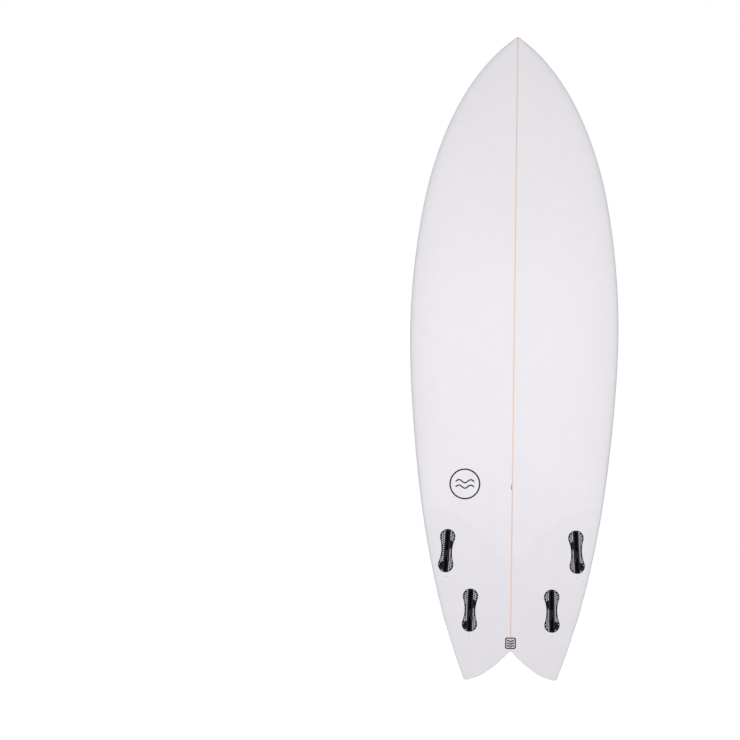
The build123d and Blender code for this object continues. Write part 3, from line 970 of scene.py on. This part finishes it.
def plug_plates():
    """The flange's open lattice and the resin under it, both around the solid middle."""
    outline = dog_bone()
    core = [np.array(loop) for loop in [BAR_PLAN, *(boss_plan(*boss) for boss in BOSSES), WINDOW_FRAME]]
    wide = [grown(loop, CORE_MARGIN) for loop in core]
    loops = [outline, inset_loop(outline, RIM)] + core + wide
    core_ids = set(range(2, 2 + len(core)))
    wide_ids = set(range(2 + len(core), len(loops)))
    first_cell = len(loops)
    inner = inset_loop(outline, RIM + RIM_TO_CELL)
    angles = np.radians(np.arange(30, 390, 60))
    hexagon = CELL_SIZE * np.column_stack([np.cos(angles), np.sin(angles)])
    row_gap = CELL_PITCH * math.sqrt(3) / 2
    for row in range(-12, 13):
        for column in range(-6, 7):
            centre = np.array([(row + 0.5 * (column % 2)) * CELL_PITCH, column * row_gap])
            if inside_loop(centre, inner) and not any(inside_loop(centre, loop) for loop in wide):
                loops.append(centre + hexagon)
    plan, triangles, homes = triangulate(loops)
    sheet = np.array([0 in home and not home & core_ids for home in homes])
    cell = np.array([1 in home and max(home) >= first_cell and not home & wide_ids for home in homes])
    return plan, triangles[sheet & ~cell], triangles[sheet]


core_points, core_faces, core_heights = plug_core()
# Painted shade: the faces deep in the slots and the niche get a darker, matt copy of the plug plastic.
core_slots = [2 if height < -SHADE_FROM else 0 for height in core_heights]
flange_plan, lattice_triangles, resin_triangles = plug_plates()
for name, hand, *_ in PLUGS:
    core = onto_surface(BOTTOM, plug_places[name], core_points * (1, hand, 1))
    used, triangles = renumbered(lattice_triangles[:, ::hand])
    top, under = (on_bottom(name, flange_plan[used], hand, h) for h in (-PLATE_SUNK, -PLATE_THICKNESS))
    plate_faces, _ = sheet_faces(triangles, len(used))
    faces = [f[::hand] for f in core_faces] + [tuple(i + len(core) for i in f) for f in plate_faces]
    body = make_object(f"fin_plug_{name}", np.vstack([core, top, under]), faces,
                       [black_plastic, lattice_plastic, shaded_plastic], core_slots + [1] * len(plate_faces))
    keep(body, "plug_plastic", f"plug_{name}")
    used, triangles = renumbered(resin_triangles[:, ::hand])
    plan = flange_plan[used] * RESIN_SHARE
    top, under = (on_bottom(name, plan, hand, h) for h in (-RESIN_DEPTH, -PLATE_THICKNESS - 0.1))
    bed = closed_sheet(f"resin_bed_{name}", top, under, triangles, [resin])
    keep(bed, "plug_plastic")

# ---- the elastomer springs
ELASTOMER_HALF = 3.8
ELASTOMER_FRONT = 5.5
LIP_FRONT = 4.0
LIP_BACK = 6.9
LIP_DEPTH = 3.6
LIP_TOP = 1.2
BLOCK_TOP = 2.3


def build_elastomer(name, hand):
    """The rubber block behind a roller, with a lip over it."""
    profile = [
        (-NICHE_BACK, -NICHE_DEPTH), (-ELASTOMER_FRONT, -NICHE_DEPTH), (-ELASTOMER_FRONT, -LIP_DEPTH),
        (-LIP_FRONT, -LIP_DEPTH), (-LIP_FRONT, -LIP_TOP), (-LIP_BACK, -LIP_TOP),
        (-LIP_BACK, -BLOCK_TOP), (-NICHE_BACK, -BLOCK_TOP),
    ]
    points, faces = prism(profile, NICHE_CENTRE - ELASTOMER_HALF, NICHE_CENTRE + ELASTOMER_HALF)
    local, faces, _ = broken_edges(solid(points[:, [2, 0, 1]], faces), 0.3, 3)
    origin, ahead, beside, out = plug_places[name]
    axes = np.array([ahead, beside * hand, out])
    made = make_object(f"elastomer_spring_{name}", origin + local @ axes, [f[::hand] for f in faces],
                       [orange_rubber], smooth=True)
    keep(made, "elastomer_rubber", f"elastomer_{name}")
    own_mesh(made)


for name, hand, *_ in PLUGS:
    build_elastomer(name, hand)

# ---- the leash cup
CUP_CAVITY = 8.5
CAVITY_DEPTH = 12.5
CUP_FLANGE = 2.0
CUP_BARREL = 12.0
CUP_DEPTH = 15.0
CUP_LIP = 1.1
CUP_FLOOR_FILLET = 1.6
FLANGE_EDGE = 0.4
FLANGE_SUNK = 0.15
CUP_TURNS = 96


def leash_cup():
    """The moulded cup turned about its axis: a flush flange, a round lip and a filleted floor."""
    edge = CUP_RADIUS - 0.03
    lip = CUP_CAVITY + CUP_LIP
    floor = CUP_CAVITY - CUP_FLOOR_FILLET
    profile = [(floor - 4, -CAVITY_DEPTH)]
    profile += arc((floor, -CAVITY_DEPTH + CUP_FLOOR_FILLET), CUP_FLOOR_FILLET, -90, 0)
    profile += arc((lip, -CUP_LIP), CUP_LIP, 180, 90)
    profile += [(lip + 0.5, 0), (lip + 0.8, -FLANGE_SUNK), (edge - 1.5, -FLANGE_SUNK), (edge - 1.2, 0)]
    profile += arc((edge - FLANGE_EDGE, -FLANGE_EDGE), FLANGE_EDGE, 90, 0, 4)
    profile += [(edge, -CUP_FLANGE), (CUP_BARREL, -CUP_FLANGE), (CUP_BARREL, -CUP_DEPTH)]
    rings = [with_height(circle(radius, CUP_TURNS), height) for radius, height in profile]
    points = onto_surface(DECK, leash_place, np.vstack(rings))
    faces = tube_faces(len(rings), CUP_TURNS)
    return make_object("leash_cup_moulding", points, faces, [cup_plastic], smooth=True)


keep(leash_cup(), "cup_plastic", "leash_cup")

# ---- CAD nodes that stay, in their finishes
finishes = {"foam_blank_left": foam_white, "foam_blank_right": foam_white, "tail_patch": cloth}
for name, *_ in PLUGS:
    finishes[f"roller_{name}"] = roller_plastic
    finishes[f"screw_fore_{name}"] = finishes[f"screw_aft_{name}"] = screw_steel
finishes["leash_bar"] = bar_steel
for node_name, finish in finishes.items():
    for material_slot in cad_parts[node_name].material_slots:
        material_slot.material = finish


# ---- printed marks
OPEN, INK, PAPER, GREY = -1, 0, 1, 2
PRINT_DEPTH = 0.2


def divided(loop, longest):
    """A closed loop with points added so that no side is longer than a length."""
    loop = np.asarray(loop, float)
    points = []
    for a, b in zip(loop, np.roll(loop, -1, axis=0)):
        count = max(1, math.ceil(math.hypot(*(b - a)) / longest))
        points += [a + (b - a) * i / count for i in range(count)]
    return np.array(points)


def inlay(name, side, centre, layers, materials, slot, nodes, grid=5.0, lift=0.06):
    """Flat shapes laid on the surface. layers are (material index, closed plan loops); later ones lie on top.
    A loop is a list of points (x to the right as seen, z up), and OPEN leaves the area without a print."""
    loops = []
    owner = []
    for index, shapes in layers:
        loops += [divided(shape, grid) for shape in shapes]
        owner += [index] * len(shapes)
    everything = np.vstack(loops)
    low, high = everything.min(0) + grid / 2, everything.max(0)
    extra = [(x, z) for x in np.arange(low[0], high[0], grid) for z in np.arange(low[1], high[1], grid)]
    plan, triangles, homes = triangulate(loops, [extra] if extra else [])
    colour = [owner[max(home)] if home else OPEN for home in homes]
    used, triangles = renumbered(triangles[np.array(colour) != OPEN])
    # As seen from outside, the plan's x runs to +X on the deck and to -X on the bottom.
    x = centre[0] - side * plan[used, 0]
    z = centre[1] + plan[used, 1]
    base = surface_at(side, x, z)
    normals = surface_normals(side, across_of(side, x, z), z)
    colour = [c for c in colour if c != OPEN]
    top, under = base + normals * lift, base - normals * PRINT_DEPTH
    piece = closed_sheet(name, top, under, triangles, materials, colour, normals)
    keep(piece, slot, *nodes)


def stroke(line, width, ends=7):
    """A closed loop around a line, with round ends."""
    line = np.asarray(line, float)
    half = width / 2
    step = np.gradient(line, axis=0)
    offset = left_of(step) * half

    def cap(at, heading):
        base = math.atan2(heading[1], heading[0])
        angle = np.linspace(base + math.pi / 2, base - math.pi / 2, ends + 2)[1:-1]
        return at + half * np.column_stack([np.cos(angle), np.sin(angle)])

    return np.vstack([line + offset, cap(line[-1], step[-1]), (line - offset)[::-1], cap(line[0], -step[0])])


def waves(half, heights, rise, width, steps=60):
    """Wavy strokes of one and a half waves, one above another."""
    x = np.linspace(-half, half, steps)
    return [stroke(np.column_stack([x, z + rise * np.sin(3 * math.pi * (x + half) / (2 * half))]), width)
            for z in heights]


def plate(width, height, radius):
    """A rounded rectangle about the middle."""
    return rounded_rectangle(-width / 2, width / 2, -height / 2, height / 2, radius, 10)


LABEL_AT = (-134.0, 571.0)
LABEL_WIDTH = 100.0
LABEL_HEIGHT = 138.0
RING_HIGH = (0, 25)
TICK = 3.2
ticks = [stroke([(x, z), (x + TICK, z)], 1.1) for z in (61.5, -61.5) for x in np.arange(-33, 32, 6.0)]
ticks += [stroke([(x, z), (x, z + TICK)], 1.1) for x in (43.0, -43.0) for z in np.arange(-36, 34, 8.0)]
label_layers = [
    (GREY, [plate(LABEL_WIDTH, LABEL_HEIGHT, 12)]),
    (PAPER, [plate(LABEL_WIDTH - 4, LABEL_HEIGHT - 4, 10.2)]),
    (GREY, [plate(LABEL_WIDTH - 8, LABEL_HEIGHT - 14, 8.5)]),
    (PAPER, [plate(LABEL_WIDTH - 9, LABEL_HEIGHT - 15, 8.0)]),
    (GREY, ticks),
    (INK, [plate(79, 108, 7)]),
    (PAPER, [circle(13.0, 60, RING_HIGH)]),
    (INK, [circle(9.0, 60, RING_HIGH)]),
    (PAPER, waves(28, (-8.0, -24.0, -40.0), 5.0, 5.6)),
]
label_inks = [ink_dark, paper, ink_grey]
inlay("deck_badge", DECK, LABEL_AT, label_layers, label_inks, "deck_label_print", ["deck_label"])

RING_AT = (123.0, 509.5)
ring_layers = [
    (INK, [circle(40.0, 120)]),
    (OPEN, [circle(36.2, 110)]),
    (INK, waves(23, (7.0, -7.0), 4.0, 3.4)),
]
inlay("bottom_ring", BOTTOM, RING_AT, ring_layers, [ring_ink], "ring_mark_print", ["ring_mark"])

BADGE_AT = (0.0, 97.0)
badge_layers = [
    (INK, [plate(28, 30, 5.0)]),
    (PAPER, [plate(22, 24, 3.0)]),
    (INK, waves(8.2, (5.6, -1.0, -7.6), 1.7, 3.0, 40)),
]
inlay("tail_badge", BOTTOM, BADGE_AT, badge_layers, [badge_ink, paper], "tail_mark_print", ["tail_mark"],
      grid=4.0, lift=0.12)

# Pencil marks that the shaper leaves: a dash and dots by the stringer and a dot behind each plug.
PENCIL_Z = 499.0
DOT_BEHIND = 67.5
DOT_OUTWARD = 1.4
dots = [stroke([(-1.5, -1.6), (-1.1, 9.6)], 4.4)]
dots += [circle(0.9, 16, (0.4, z)) for z in (-60.0, -210.0, -250.0)]
for _, hand, x, z, _ in PLUGS:
    dots.append(circle(1.1, 18, (-hand * (x + DOT_OUTWARD), z - DOT_BEHIND - PENCIL_Z)))
inlay("pencil_marks", BOTTOM, (0.0, PENCIL_Z), [(INK, dots)], [pencil], "stringer_wood", [],
      grid=400.0, lift=0.07)

# ---- floor, light and camera, in metres
FLOOR_HALF = 6.0
FLOOR_SQUARES = 24
WHITE = (1, 1, 1, 1)
LIGHT_SIZE = 1.2
LIGHT_WATTS = 11.0
LIGHT_AIM = (0, 0, 0.84)
LIGHT_AT = (0.08, 1.9, 0.88)
CAMERA_DISTANCE = 9.0
CAMERA_ROLL = math.radians(0.7)
LENS_FOR_A_METRE = 18.73
CAMERA_SHIFT = (-0.1946, -0.0172)


def stage_floor():
    """A level pale floor that runs past the picture's edges."""
    paint, tree = new_material("studio_floor_white")
    tone = mix(tree, noise(tree, 3, 2), (0.9, 0.9, 0.9, 1), (0.93, 0.93, 0.93, 1))
    shader = add(tree, "BsdfPrincipled", {
        "Base Color": tone, "Roughness": 0.9, "Emission Color": WHITE, "Emission Strength": 0.55,
    })
    add(tree, "OutputMaterial", {0: shader.outputs[0]})
    line = np.linspace(-FLOOR_HALF, FLOOR_HALF, FLOOR_SQUARES + 1)
    points = np.array([(x, y, cad_low.z) for x in line for y in line])
    row = FLOOR_SQUARES + 1
    corners = [i * row + k for i in range(FLOOR_SQUARES) for k in range(FLOOR_SQUARES)]
    faces = [(a, a + row, a + row + 1, a + 1) for a in corners]
    floor = make_object("studio_floor", points / MM, faces, [paint])
    floor.visible_diffuse = False
    floor.visible_glossy = False


def build_world():
    """White behind the object, and a soft surround that is brighter in front and behind."""
    world = bpy.data.worlds.new("studio")
    bpy.context.scene.world = world
    world.use_nodes = True
    sky = world.node_tree
    sky.nodes.clear()

    def background(strength):
        return add(sky, "Background", {"Color": WHITE, "Strength": strength}).outputs[0]

    direction = add(sky, "TexCoord").outputs["Generated"]
    sky_y = add(sky, "SeparateXYZ", {0: direction}).outputs[1]
    facing_y = maths(sky, "POWER", maths(sky, "ABSOLUTE", sky_y), 4.0)
    strength = maths(sky, "MULTIPLY_ADD", facing_y, 1.25, 0.36)
    ray = add(sky, "LightPath").outputs
    unseen_mix = {0: ray["Is Glossy Ray"], 1: background(strength), 2: background(0.25)}
    unseen = add(sky, "MixShader", unseen_mix).outputs[0]
    both = add(sky, "MixShader", {0: ray["Is Camera Ray"], 1: unseen, 2: background(1.0)})
    add(sky, "OutputWorld", {0: both.outputs[0]})


def soft_light(name, hand):
    """A square lamp facing the bottom or the deck."""
    lamp = bpy.data.lights.new(name, "AREA")
    lamp.size = LIGHT_SIZE
    lamp.energy = LIGHT_WATTS
    made = new_object(name, lamp)
    made.location = (hand * LIGHT_AT[0], hand * LIGHT_AT[1], LIGHT_AT[2])
    made.rotation_euler = (Vector(LIGHT_AIM) - made.location).to_track_quat("-Z", "Y").to_euler()
    made.visible_glossy = False


stage_floor()
build_world()
soft_light("bottom_light", BOTTOM)
soft_light("deck_light", DECK)

middle_z = (cad_low.z + cad_high.z) / 2
camera_data = bpy.data.cameras.new("camera")
camera = new_object("camera", camera_data)
bpy.context.scene.camera = camera
camera_data.lens = LENS_FOR_A_METRE * CAMERA_DISTANCE
camera_data.shift_x, camera_data.shift_y = CAMERA_SHIFT
camera_data.clip_start = 0.05
camera_data.clip_end = 60
look = Vector((0, -1, 0)).to_track_quat("-Z", "Y").to_matrix().to_4x4()
camera.matrix_world = (Matrix.Translation((0, CAMERA_DISTANCE, middle_z))
                       @ look @ Matrix.Rotation(CAMERA_ROLL, 4, "Z"))

colours = bpy.context.scene.view_settings
colours.view_transform = "Standard"
colours.look = "None"
